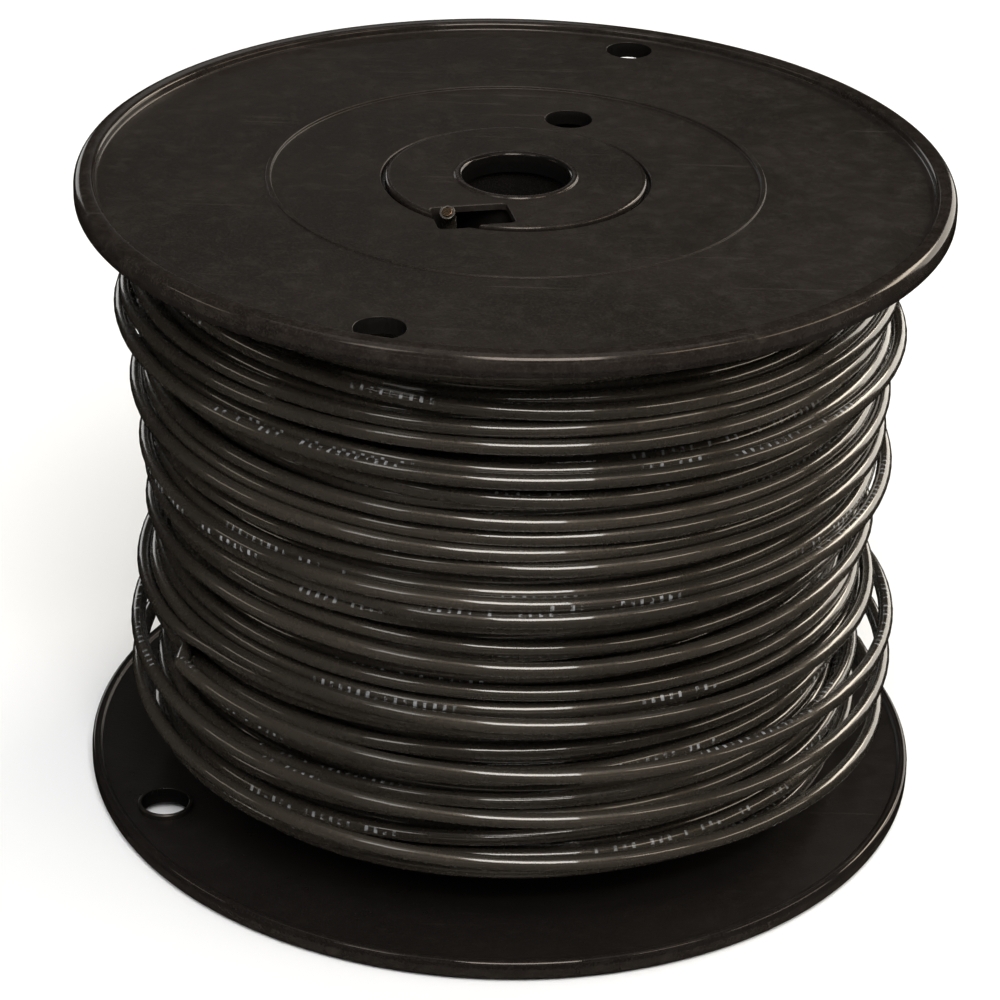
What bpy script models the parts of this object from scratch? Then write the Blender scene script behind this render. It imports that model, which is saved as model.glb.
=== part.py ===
"""Wire reel: two moulded flanges, a barrel, two hub plugs, and the jacketed wire wound on them.

Metres, +Z up along the reel's axis.  The origin is on the axis, in the plane that the reel stands on.
The two flanges are the same moulding, and so are the two hub plugs: the lower ones are turned over.
"""
import math

import bmesh
import bpy
from mathutils import Matrix, Vector

MM = 0.001
GAP = 0.3 * MM                      # clearance between neighbouring solids

# Reel, overall
HEIGHT = 127.0 * MM                 # rim to rim, 5 in
FLANGE_R = 82.55 * MM               # 6.5 in across
SEGMENTS = 72

# Flange, depths measured inwards from the rim's outer plane
RIM_IN_R = 78.6 * MM
RIM_DEPTH = 3.8 * MM
RIM_ROUND = 0.9 * MM
RIM_ROUND_STEPS = 3
BEVEL = 0.5 * MM                    # small bevels along the rim's inner edge
PLATE_DEPTH = 1.7 * MM
STEP_R = 46.0 * MM
STEP_WIDTH = 0.4 * MM
STEP_DEPTH = 2.05 * MM
POCKET_R = 24.9 * MM                # pocket that the hub plug's disc sits in
POCKET_DEPTH = 3.15 * MM
HUB_BACK_DEPTH = 4.6 * MM
SOCKET_OUT_R = 27.0 * MM            # ring that the barrel's end stands in
SOCKET_DEPTH = 6.3 * MM
HOLE_R = 4.9 * MM
TIE_HOLE_AT_R = 72.6 * MM
START_HOLE_AT_R = 32.2 * MM
HOLE_LINE_DEG = 72.0                # the holes lie on one line through the axis
LOWER_FLANGE_TURN_DEG = -81.5       # how far the lower flange is turned from the upper one

# Hub plug
PLUG_R = 24.6 * MM
PLUG_TOP_DEPTH = 1.55 * MM
PLUG_BEVEL = 0.35 * MM
PLUG_BACK_DEPTH = 2.85 * MM
LIP_R = 11.4 * MM
LIP_TOP_DEPTH = 1.2 * MM
LIP_BEVEL = 0.7 * MM                # funnel at the bore's mouth
LIP_ROUND = 0.2 * MM
BORE_R = 10.15 * MM
BOSS_R = 12.6 * MM
BOSS_END_DEPTH = 14.0 * MM
SPIGOT_OUT_R = 22.5 * MM
SPIGOT_IN_R = 20.7 * MM
SPIGOT_END_DEPTH = 12.0 * MM
RIB_COUNT = 4
RIB_WIDTH = 1.6 * MM
RIB_END_DEPTH = 10.0 * MM
RIB_OVERLAP = 0.6 * MM              # how far a rib runs into the walls that it joins
LUG_COUNT = 3
LUG_SIZE = Vector((3.0, 7.0, 2.5)) * MM
LUG_OUT_R = 24.0 * MM
LUG_DEPTH = 9.2 * MM                # middle of the snap lugs
KEY_SIZE = Vector((3.0, 5.0, 1.6)) * MM
KEY_OUT_R = 23.9 * MM
KEY_COUNT = 2
KEY_OVERLAP = 0.2 * MM

# Slot at the plug's edge
SLOT_SIZE = Vector((14.4, 9.0)) * MM
SLOT_AT = Vector((-7.7, -19.4)) * MM
SLOT_TURN_DEG = -13.0
SLOT_LINE_DEG = -108.0
SLOT_CUT_HEIGHT = 22.0 * MM
SLOT_CUT_MIDDLE_DEPTH = 2.0 * MM

# Barrel
BARREL_OUT_R = 25.4 * MM            # 2 in across
BARREL_IN_R = 22.8 * MM
PORT_R = 3.2 * MM
PORT_Z = 104.0 * MM
PORT_DEG = -135.0

# Wire
WIRE_D = 2.9 * MM
WIRE_R = WIRE_D / 2
CONDUCTOR_R = 0.95 * MM
CONDUCTOR_GAP = 0.27 * MM
CONDUCTOR_LENGTH = 4.0 * MM
STRIP_DEPTH = CONDUCTOR_LENGTH - 0.2 * MM
START_SPACING = 1.6 * MM
LAST_TURNS = 2.45
LAST_TURNS_R = 74.2 * MM
LAST_TURNS_SHIFT = 1.6 * MM         # the loose turns hang over to the right by this
LAST_TURNS_TOP = 41.0 * MM
LAST_TURNS_BOTTOM = 18.0 * MM
CLOSING_SHARE = 0.04                # last share of the turns, where they close in on the tie-off hole
FINISH_BEND_R = 12.0 * MM
FINISH_BEND_STEPS = 6
FINISH_END_Z = 0.7 * MM
POINT_SPACING = 12.0 * MM

# Outline of the wound wire, as (radius, height) in mm, from the barrel outwards and over the top
WINDING_TOP = ((27.6, 119.0), (40.0, 118.4), (62.0, 118.0), (70.5, 116.5))
WINDING_SIDE = ((73.6, 111.0), (73.6, 97.0), (72.4, 82.0), (71.2, 66.0), (70.9, 52.0),
                (70.7, 44.0), (70.7, 23.5))
WINDING_BOTTOM = ((69.0, 14.0), (62.0, 9.5), (40.0, 7.0), (27.6, 5.6))

PLASTIC_BLACK = (0.016, 0.014, 0.013)
JACKET_BLACK = (0.010, 0.009, 0.009)
COPPER = (0.72, 0.36, 0.20)

OVERCUT = 1.0 * MM                  # how far a cutter runs past the faces that it cuts
LONG_CUT = 12.0 * MM                # length of a cutter that goes right through a flange
SMOOTH_UP_TO = math.radians(35)
MERGE = 0.01 * MM


def clear_scene():
    for obj in list(bpy.data.objects):
        bpy.data.objects.remove(obj, do_unlink=True)


def new_collection(name):
    collection = bpy.data.collections.new(name)
    bpy.context.scene.collection.children.link(collection)
    return collection


def new_material(name, color, roughness, metallic=0.0):
    material = bpy.data.materials.new(name)
    material.use_nodes = True
    shader = material.node_tree.nodes["Principled BSDF"]
    shader.inputs["Base Color"].default_value = (*color, 1.0)
    shader.inputs["Roughness"].default_value = roughness
    shader.inputs["Metallic"].default_value = metallic
    return material


def polar(radius, degrees, z=0.0):
    """A point at a radius and an angle from +X, at height z."""
    angle = math.radians(degrees)
    return Vector((radius * math.cos(angle), radius * math.sin(angle), z))


def shade(obj):
    obj.data.shade_smooth()
    obj.data.set_sharp_from_angle(angle=SMOOTH_UP_TO)


def turned(name, outline, collection, segments=SEGMENTS):
    """A closed turned piece.  The outline runs down the outer side first, as (radius, height)."""
    mesh = bpy.data.meshes.new(name)
    points = [(radius, 0.0, height) for radius, height in outline]
    edges = [(i, (i + 1) % len(points)) for i in range(len(points))]
    mesh.from_pydata(points, edges, [])
    obj = bpy.data.objects.new(name, mesh)
    collection.objects.link(obj)
    screw = obj.modifiers.new("turn", "SCREW")
    screw.steps = segments
    screw.render_steps = segments
    screw.use_merge_vertices = True
    screw.merge_threshold = MERGE
    return obj


def box(name, size, location, turn_deg, collection):
    """A box with its middle at location, turned about Z."""
    bpy.ops.mesh.primitive_cube_add(size=1.0, location=location)
    obj = bpy.context.object
    obj.name = name
    obj.data.transform(Matrix.Diagonal((*size, 1.0)))
    obj.rotation_euler.z = math.radians(turn_deg)
    move_to(obj, collection)
    return obj


def cylinder(name, radius, length, location, collection, vertices=32, rotation=(0.0, 0.0, 0.0)):
    bpy.ops.mesh.primitive_cylinder_add(vertices=vertices, radius=radius, depth=length,
                                        location=location, rotation=rotation)
    obj = bpy.context.object
    obj.name = name
    move_to(obj, collection)
    return obj


def move_to(obj, collection):
    for other in list(obj.users_collection):
        other.objects.unlink(obj)
    collection.objects.link(obj)


def boolean(obj, tool, operation):
    modifier = obj.modifiers.new(tool.name, "BOOLEAN")
    modifier.operation = operation
    modifier.object = tool
    modifier.solver = "EXACT"
    tool.hide_render = True
    tool.display_type = "WIRE"


def cut(obj, tool):
    boolean(obj, tool, "DIFFERENCE")


def join(obj, tool):
    boolean(obj, tool, "UNION")


def turn_over(obj):
    """Turn a piece of the upper end over to the lower end, and turn it about the axis."""
    obj.matrix_world = (Matrix.Rotation(math.radians(LOWER_FLANGE_TURN_DEG), 4, "Z")
                        @ Matrix.Translation((0.0, 0.0, HEIGHT))
                        @ Matrix.Rotation(math.pi, 4, "X") @ obj.matrix_world)


def top(depth):
    """Height of a point of the upper end that lies this deep below the rim's plane."""
    return HEIGHT - depth


def flange_outline():
    """Down the outer edge of the rim, in along the inner face, and back out along the outer face."""
    rim_round = []
    for step in range(RIM_ROUND_STEPS + 1):
        angle = math.pi / 2 * (1 - step / RIM_ROUND_STEPS)
        rim_round.append((FLANGE_R - RIM_ROUND * (1 - math.cos(angle)),
                          top(RIM_ROUND * (1 - math.sin(angle)))))
    lower_round = [(radius, top(RIM_DEPTH) + top(0) - height)
                   for radius, height in reversed(rim_round)]
    inner_face = [(SOCKET_OUT_R, top(RIM_DEPTH)), (SOCKET_OUT_R, top(SOCKET_DEPTH)),
                  (BARREL_OUT_R + GAP, top(SOCKET_DEPTH)), (BARREL_OUT_R + GAP, top(HUB_BACK_DEPTH)),
                  (BARREL_IN_R, top(HUB_BACK_DEPTH))]
    outer_face = [(BARREL_IN_R, top(POCKET_DEPTH)), (POCKET_R, top(POCKET_DEPTH)),
                  (POCKET_R, top(STEP_DEPTH)), (STEP_R, top(STEP_DEPTH)),
                  (STEP_R + STEP_WIDTH, top(PLATE_DEPTH)), (RIM_IN_R - BEVEL, top(PLATE_DEPTH)),
                  (RIM_IN_R, top(PLATE_DEPTH - BEVEL)), (RIM_IN_R, top(BEVEL)),
                  (RIM_IN_R + BEVEL, top(0))]
    return rim_round + lower_round + inner_face + outer_face


def slot_cutter(name, collection):
    size = (*SLOT_SIZE, SLOT_CUT_HEIGHT)
    location = (*SLOT_AT, top(SLOT_CUT_MIDDLE_DEPTH))
    return box(name, size, location, SLOT_TURN_DEG, collection)


def key_place(index):
    return SLOT_LINE_DEG + 90.0 + index * 360.0 / KEY_COUNT


def lug_place(index):
    return SLOT_LINE_DEG + 60.0 + index * 360.0 / LUG_COUNT


def radial_box(name, size, outer_r, degrees, height, collection):
    """A box whose outer face is at outer_r, pointing along the radius."""
    middle = polar(outer_r - size.x / 2, degrees, height)
    return box(name, size, middle, degrees, collection)


def build_flange(name, material, parts, cutters):
    flange = turned(name, flange_outline(), parts)
    flange.data.materials.append(material)
    holes = [polar(TIE_HOLE_AT_R, HOLE_LINE_DEG), polar(TIE_HOLE_AT_R, HOLE_LINE_DEG + 180.0),
             polar(START_HOLE_AT_R, HOLE_LINE_DEG)]
    for index, place in enumerate(holes):
        place.z = top(RIM_DEPTH / 2)
        cut(flange, cylinder(f"{name}_hole_{index}", HOLE_R, LONG_CUT, place, cutters, 24))
    cut(flange, slot_cutter(f"{name}_slot", cutters))
    notch = KEY_SIZE + Vector((0.0, 2 * GAP, 2 * OVERCUT))
    middle = top((POCKET_DEPTH + HUB_BACK_DEPTH) / 2)
    for index in range(KEY_COUNT):
        cut(flange, radial_box(f"{name}_key_{index}", notch, KEY_OUT_R + GAP, key_place(index), middle,
                               cutters))
    shade(flange)
    return flange


def plug_outline():
    """Down the disc's edge and the spigot, around the boss, and back up the bore to the lip."""
    disc_edge = [(PLUG_R - PLUG_BEVEL, top(PLUG_TOP_DEPTH)),
                 (PLUG_R, top(PLUG_TOP_DEPTH + PLUG_BEVEL)), (PLUG_R, top(PLUG_BACK_DEPTH))]
    spigot = [(SPIGOT_OUT_R, top(PLUG_BACK_DEPTH)), (SPIGOT_OUT_R, top(SPIGOT_END_DEPTH)),
              (SPIGOT_IN_R, top(SPIGOT_END_DEPTH)), (SPIGOT_IN_R, top(PLUG_BACK_DEPTH))]
    boss = [(BOSS_R, top(PLUG_BACK_DEPTH)), (BOSS_R, top(BOSS_END_DEPTH)),
            (BORE_R, top(BOSS_END_DEPTH))]
    lip = [(BORE_R, top(LIP_TOP_DEPTH + LIP_BEVEL)), (BORE_R + LIP_BEVEL, top(LIP_TOP_DEPTH)),
           (LIP_R - LIP_ROUND, top(LIP_TOP_DEPTH)), (LIP_R, top(PLUG_TOP_DEPTH))]
    return disc_edge + spigot + boss + lip


def build_plug(name, material, parts, cutters):
    plug = turned(name, plug_outline(), parts, 64)
    plug.data.materials.append(material)
    rib_size = Vector((SPIGOT_IN_R - BOSS_R + 2 * RIB_OVERLAP, RIB_WIDTH,
                       RIB_END_DEPTH - PLUG_BACK_DEPTH + RIB_OVERLAP))
    rib_middle = top(RIB_END_DEPTH) + rib_size.z / 2
    for index in range(RIB_COUNT):
        place = SLOT_LINE_DEG + (index + 0.5) * 360.0 / RIB_COUNT
        join(plug, radial_box(f"{name}_rib_{index}", rib_size, SPIGOT_IN_R + RIB_OVERLAP, place,
                              rib_middle, cutters))
    for index in range(LUG_COUNT):
        join(plug, radial_box(f"{name}_lug_{index}", LUG_SIZE, LUG_OUT_R, lug_place(index),
                              top(LUG_DEPTH), cutters))
    key_middle = top(PLUG_BACK_DEPTH) - KEY_SIZE.z / 2 + KEY_OVERLAP
    for index in range(KEY_COUNT):
        join(plug, radial_box(f"{name}_key_{index}", KEY_SIZE, KEY_OUT_R, key_place(index), key_middle,
                              cutters))
    cut(plug, slot_cutter(f"{name}_slot", cutters))
    shade(plug)
    return plug


def build_barrel(material, parts, cutters):
    low = HUB_BACK_DEPTH + GAP
    high = HEIGHT - low
    outline = [(BARREL_OUT_R, high), (BARREL_OUT_R, low), (BARREL_IN_R, low), (BARREL_IN_R, high)]
    barrel = turned("barrel", outline, parts, 64)
    barrel.data.materials.append(material)
    window = LUG_SIZE + Vector((3 * OVERCUT, 2 * GAP, 2 * GAP))
    for index in range(LUG_COUNT):
        upper = lug_place(index)
        lower = LOWER_FLANGE_TURN_DEG - upper
        for end, degrees, height in (("upper", upper, top(LUG_DEPTH)), ("lower", lower, LUG_DEPTH)):
            cut(barrel, radial_box(f"barrel_window_{end}_{index}", window, BARREL_OUT_R + OVERCUT,
                                   degrees, height, cutters))
    port_middle = polar((BARREL_OUT_R + BARREL_IN_R) / 2, PORT_DEG, PORT_Z)
    port_turn = (0.0, math.pi / 2, math.radians(PORT_DEG))
    cut(barrel, cylinder("barrel_port", PORT_R, LONG_CUT / 2, port_middle, cutters, 24, port_turn))
    shade(barrel)
    return barrel


def build_winding(material, parts):
    """The wound wire up to its last turns: a turned ring with the true outer shape of the winding."""
    inner_r = BARREL_OUT_R + GAP
    socket_top = SOCKET_DEPTH + GAP
    outline = [(radius * MM, height * MM) for radius, height in WINDING_TOP + WINDING_SIDE
               + WINDING_BOTTOM]
    inner = [(WINDING_BOTTOM[-1][0] * MM, socket_top), (inner_r, socket_top),
             (inner_r, HEIGHT - socket_top), (WINDING_TOP[0][0] * MM, HEIGHT - socket_top)]
    winding = turned("wire_winding", outline + inner, parts, 64)
    winding.data.materials.append(material)
    shade(winding)
    return winding


def smooth_curve(points, spacing):
    """Points of a Catmull-Rom curve through the given points, about one spacing apart."""
    padded = [points[0] * 2 - points[1]] + points + [points[-1] * 2 - points[-2]]
    result = []
    for a, b, c, d in zip(padded, padded[1:], padded[2:], padded[3:]):
        steps = max(1, round((c - b).length / spacing))
        for step in range(steps):
            t = step / steps
            result.append(0.5 * (2 * b + (c - a) * t + (2 * a - 5 * b + 4 * c - d) * t ** 2
                                 + (3 * b - a - 3 * c + d) * t ** 3))
    result.append(points[-1])
    return result


def wire_tube(name, points, material, parts, cutters):
    """A length of wire along points, as a mesh, with a blind bore in its last end for the conductor."""
    curve = bpy.data.curves.new(name, "CURVE")
    curve.dimensions = "3D"
    curve.bevel_depth = WIRE_R
    curve.bevel_resolution = 2
    curve.use_fill_caps = True
    spline = curve.splines.new("POLY")
    spline.points.add(len(points) - 1)
    for spline_point, point in zip(spline.points, points):
        spline_point.co = (*point, 1.0)
    guide = bpy.data.objects.new(name + "_curve", curve)
    parts.objects.link(guide)
    bpy.context.view_layer.update()
    mesh = bpy.data.meshes.new_from_object(guide.evaluated_get(bpy.context.evaluated_depsgraph_get()))
    mesh.materials.clear()
    bm = bmesh.new()
    bm.from_mesh(mesh)
    bmesh.ops.remove_doubles(bm, verts=bm.verts, dist=MERGE)
    bmesh.ops.recalc_face_normals(bm, faces=bm.faces)
    bm.to_mesh(mesh)
    bm.free()
    obj = bpy.data.objects.new(name, mesh)
    obj.matrix_world = guide.matrix_world
    parts.objects.link(obj)
    bpy.data.objects.remove(guide, do_unlink=True)
    mesh.materials.append(material)
    direction = (points[-1] - points[-2]).normalized()
    middle = points[-1] - direction * (STRIP_DEPTH / 2 - OVERCUT)
    bore = cylinder(name + "_bore", CONDUCTOR_R + CONDUCTOR_GAP, STRIP_DEPTH + 2 * OVERCUT, middle,
                    cutters, 12)
    bore.rotation_mode = "QUATERNION"
    bore.rotation_quaternion = direction.to_track_quat("Z", "Y")
    cut(obj, bore)
    shade(obj)
    return obj


def build_conductor(name, end, direction, material, parts):
    """The copper core in the cut end of the wire, standing a little proud of the jacket."""
    proud = CONDUCTOR_LENGTH - STRIP_DEPTH + GAP
    middle = end + direction * (proud - CONDUCTOR_LENGTH / 2)
    conductor = cylinder(name, CONDUCTOR_R, CONDUCTOR_LENGTH, middle, parts, 12)
    conductor.rotation_mode = "QUATERNION"
    conductor.rotation_quaternion = direction.to_track_quat("Z", "Y")
    conductor.data.materials.append(material)
    shade(conductor)
    return conductor


def start_route():
    """From the port in the barrel's wall, up inside the barrel, and out of the slot's left end."""
    route = ((-17.8, -17.8, 103.9), (-15.6, -16.0, 104.3), (-13.4, -14.9, 107.0),
             (-12.2, -14.8, 112.0), (-12.0, -15.4, 118.0), (-12.1, -16.5, 122.6),
             (-12.4, -18.6, 125.4))
    return smooth_curve([Vector(point) * MM for point in route], START_SPACING)


def finish_hole_deg():
    """Angle of the lower flange's tie-off hole that the wire's finish end goes through."""
    return LOWER_FLANGE_TURN_DEG - HOLE_LINE_DEG - 180.0 + 360.0


def last_turns_route():
    """Open turns around the winding, then down through the lower flange's tie-off hole."""
    hole_deg = finish_hole_deg()
    bend_deg = math.degrees(FINISH_BEND_R / TIE_HOLE_AT_R)
    end_deg = hole_deg - bend_deg
    start_deg = end_deg - 360.0 * LAST_TURNS
    count = round(2 * math.pi * LAST_TURNS_R * LAST_TURNS / POINT_SPACING)
    route = []
    for step in range(count + 1):
        share = step / count
        closing = max(0.0, 1 - (1 - share) / CLOSING_SHARE)
        degrees = start_deg + (end_deg - start_deg) * share
        radius = LAST_TURNS_R + LAST_TURNS_SHIFT * math.cos(math.radians(degrees))
        radius += (TIE_HOLE_AT_R - radius) * closing ** 2
        height = LAST_TURNS_TOP + (LAST_TURNS_BOTTOM - LAST_TURNS_TOP) * share
        route.append(polar(radius, degrees, height))
    for step in range(1, FINISH_BEND_STEPS + 1):
        angle = math.pi / 2 * step / FINISH_BEND_STEPS
        degrees = end_deg + bend_deg * math.sin(angle)
        height = LAST_TURNS_BOTTOM - FINISH_BEND_R * (1 - math.cos(angle))
        route.append(polar(TIE_HOLE_AT_R, degrees, height))
    route.append(polar(TIE_HOLE_AT_R, hole_deg, FINISH_END_Z))
    return route


def build_wire(jacket, copper, parts, cutters):
    build_winding(jacket, parts)
    ends = (("wire_start_end", "wire_start_conductor", start_route()),
            ("wire_last_turns", "wire_finish_conductor", last_turns_route()))
    for tube_name, conductor_name, route in ends:
        wire_tube(tube_name, route, jacket, parts, cutters)
        direction = (route[-1] - route[-2]).normalized()
        build_conductor(conductor_name, route[-1], direction, copper, parts)


def build():
    clear_scene()
    parts = new_collection("wire_reel")
    cutters = new_collection("cutters")
    plastic = new_material("reel_plastic", PLASTIC_BLACK, 0.42)
    jacket = new_material("wire_jacket", JACKET_BLACK, 0.18)
    copper = new_material("copper", COPPER, 0.3, 1.0)

    build_flange("upper_flange", plastic, parts, cutters)
    build_plug("upper_hub_plug", plastic, parts, cutters)
    build_barrel(plastic, parts, cutters)
    build_wire(jacket, copper, parts, cutters)
    for builder, name in ((build_flange, "lower_flange"), (build_plug, "lower_hub_plug")):
        before = set(bpy.data.objects)
        builder(name, plastic, parts, cutters)
        bpy.context.view_layer.update()
        for obj in set(bpy.data.objects) - before:
            turn_over(obj)


build()
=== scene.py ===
"""Looks of the wire reel: moulded flanges, hub plugs and barrel, and the jacketed wire wound on them.

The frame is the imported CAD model: metres, +Z up along the reel's axis, standing on z = 0, front at -Y.
Angles are measured from +X, counter-clockwise seen from above.
"""
import math

import bmesh
import bpy
import numpy as np
from mathutils import Matrix, Vector


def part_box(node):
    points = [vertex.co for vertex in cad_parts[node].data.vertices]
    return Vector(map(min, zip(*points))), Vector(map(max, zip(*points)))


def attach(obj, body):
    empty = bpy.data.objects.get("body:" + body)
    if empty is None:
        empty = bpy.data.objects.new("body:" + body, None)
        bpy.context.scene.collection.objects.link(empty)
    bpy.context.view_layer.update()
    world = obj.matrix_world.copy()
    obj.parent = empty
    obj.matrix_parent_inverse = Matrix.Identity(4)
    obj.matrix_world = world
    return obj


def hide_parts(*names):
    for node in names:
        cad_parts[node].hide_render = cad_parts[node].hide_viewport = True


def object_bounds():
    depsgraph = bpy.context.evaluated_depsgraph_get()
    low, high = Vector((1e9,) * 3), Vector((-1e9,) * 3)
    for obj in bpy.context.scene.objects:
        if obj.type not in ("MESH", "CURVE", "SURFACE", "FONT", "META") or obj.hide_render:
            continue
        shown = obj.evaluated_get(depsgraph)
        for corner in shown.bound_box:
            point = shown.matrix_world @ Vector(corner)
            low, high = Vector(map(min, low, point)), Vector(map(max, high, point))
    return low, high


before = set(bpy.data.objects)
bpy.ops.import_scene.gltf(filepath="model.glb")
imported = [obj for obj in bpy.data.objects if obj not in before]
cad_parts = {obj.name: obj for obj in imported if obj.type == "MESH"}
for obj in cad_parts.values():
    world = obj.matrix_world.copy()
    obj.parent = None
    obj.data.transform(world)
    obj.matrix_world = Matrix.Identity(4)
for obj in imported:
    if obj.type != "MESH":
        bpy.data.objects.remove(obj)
CAD_LOW, CAD_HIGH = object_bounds()

MM = 0.001
HEIGHT = CAD_HIGH.z                     # rim to rim
FLANGE_R = (CAD_HIGH.x - CAD_LOW.x) / 2
BARREL_LOW, BARREL_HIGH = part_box("barrel")
BARREL_R = BARREL_HIGH.x
LOWER_TURN_DEG = -81.5                  # the lower flange is the upper one turned over, then by this
HOLE_LINE_DEG = 72.0                    # the holes lie on one line through the axis
HOLE_R = 4.6 * MM
COLLAR_WIDTH = 0.7 * MM                 # of the low collars around the round holes, on the inner side
TIE_HOLE_AT_R = 72.6 * MM
START_HOLE_AT_R = 32.2 * MM
SLOT_LINE_DEG = -108.0

# The reel's turned outlines, in mm from the axis and in mm below the plane of the rim
RIM_IN_R = 78.6
RIM_DEPTH = 4.4                         # of the rim's lip on the inner side
INNER_DEPTH = 3.8                       # of the plate's inner face
PLATE_DEPTH = 1.7                       # of the plate's outer face
STEP_R, STEP_WIDTH, STEP_DEPTH = 46.0, 0.9, 1.45
NEAR_HUB_DEPTH = 2.05                   # of the plate inside the step ring
LEDGE_R, LEDGE_DEPTH = 22.8, 3.15       # the ledge that the plug's disc sits over
RECESS_R = 25.3
DISC_R, DISC_DEPTH, DISC_BACK = 24.6, 1.55, 2.85
BORE_R = 10.15
LUG_DEPTH = 9.2                         # of the middle of the snap lugs and of the barrel's windows

# Wire
WIRE_LENGTH = 152.4                     # 500 ft
WIRE_D = 2.9 * MM
WIRE_R = WIRE_D / 2
CONDUCTOR_R = 1.0 * MM
FINISH_BEND_R = 12.0 * MM
FINISH_END_Z = 0.7 * MM
PORT_DEG = -135.0
PORT_Z = 104.0 * MM

# Camera: a long lens in front of the reel and above it, tipped a little to one side
CAMERA_DISTANCE = 679.5 * MM            # to the middle of the reel
CAMERA_ELEVATION = math.radians(27.29)
CAMERA_ROLL = math.radians(1.64)
CAMERA_LENS = 124.9
CAMERA_SHIFT = (-0.0077, -0.0317)

# Carries a point of the upper end to its place on the lower end
OVER = (Matrix.Rotation(math.radians(LOWER_TURN_DEG), 4, "Z") @ Matrix.Translation((0.0, 0.0, HEIGHT))
        @ Matrix.Rotation(math.pi, 4, "X"))


# ---------------------------------------------------------------- materials

def node(tree, kind, inputs=None, **settings):
    """A new shader node.  An input is a number, a colour or another node's output socket."""
    made = tree.nodes.new(kind)
    for name, value in settings.items():
        setattr(made, name, value)
    for name, value in (inputs or {}).items():
        if isinstance(value, bpy.types.NodeSocket):
            tree.links.new(value, made.inputs[name])
        else:
            made.inputs[name].default_value = value
    return made


def calc(tree, operation, *values, clamp=False):
    made = node(tree, "ShaderNodeMath", dict(enumerate(values)), operation=operation, use_clamp=clamp)
    return made.outputs[0]


def fade(tree, value, low, high, to_low=0.0, to_high=1.0):
    """The value carried smoothly from the range low..high to the range to_low..to_high."""
    made = node(tree, "ShaderNodeMapRange", {"Value": value, "From Min": low, "From Max": high,
                                             "To Min": to_low, "To Max": to_high},
                interpolation_type="SMOOTHSTEP")
    return made.outputs["Result"]


def noise(tree, vector, scale, detail=2.0, roughness=0.5, dimensions="3D"):
    made = node(tree, "ShaderNodeTexNoise", {"Scale": scale, "Detail": detail, "Roughness": roughness},
                noise_dimensions=dimensions)
    tree.links.new(vector, made.inputs["W" if dimensions == "1D" else "Vector"])
    return made.outputs["Fac"]


def mix_colors(tree, share, first, second):
    made = node(tree, "ShaderNodeMix", {0: share}, data_type="RGBA")
    for index, color in ((6, first), (7, second)):
        if isinstance(color, bpy.types.NodeSocket):
            tree.links.new(color, made.inputs[index])
        else:
            made.inputs[index].default_value = (*color, 1.0)
    return made.outputs[2]


def new_material(name, roughness, metallic=0.0, specular=0.5):
    material = bpy.data.materials.new(name)
    material.use_nodes = True
    shader = material.node_tree.nodes["Principled BSDF"]
    shader.inputs["Roughness"].default_value = roughness
    shader.inputs["Metallic"].default_value = metallic
    shader.inputs["Specular IOR Level"].default_value = specular
    return material, material.node_tree, shader


def hole_wall_shade(tree, place, radius, height):
    """1 on the walls of the bore and of the round holes, which get painted shade, else 0."""
    walls = fade(tree, radius, 10.9 * MM, 10.5 * MM)
    upper = calc(tree, "GREATER_THAN", height, HEIGHT / 2)
    lower = calc(tree, "LESS_THAN", height, HEIGHT / 2)
    centres = [polar(at, HOLE_LINE_DEG) for at in (START_HOLE_AT_R, TIE_HOLE_AT_R, -TIE_HOLE_AT_R)]
    for end, centre in [(upper, c) for c in centres] + [(lower, OVER @ c) for c in centres]:
        offset = node(tree, "ShaderNodeVectorMath", {0: place, 1: centre}, operation="SUBTRACT").outputs[0]
        flat = node(tree, "ShaderNodeVectorMath", {0: offset, 1: (1.0, 1.0, 0.0)}, operation="MULTIPLY")
        distance = node(tree, "ShaderNodeVectorMath", {0: flat.outputs[0]}, operation="LENGTH").outputs[1]
        wall = fade(tree, distance, HOLE_R + 0.16 * MM, HOLE_R + 0.04 * MM)
        walls = calc(tree, "MAXIMUM", walls, calc(tree, "MULTIPLY", wall, end))
    return walls


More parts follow.
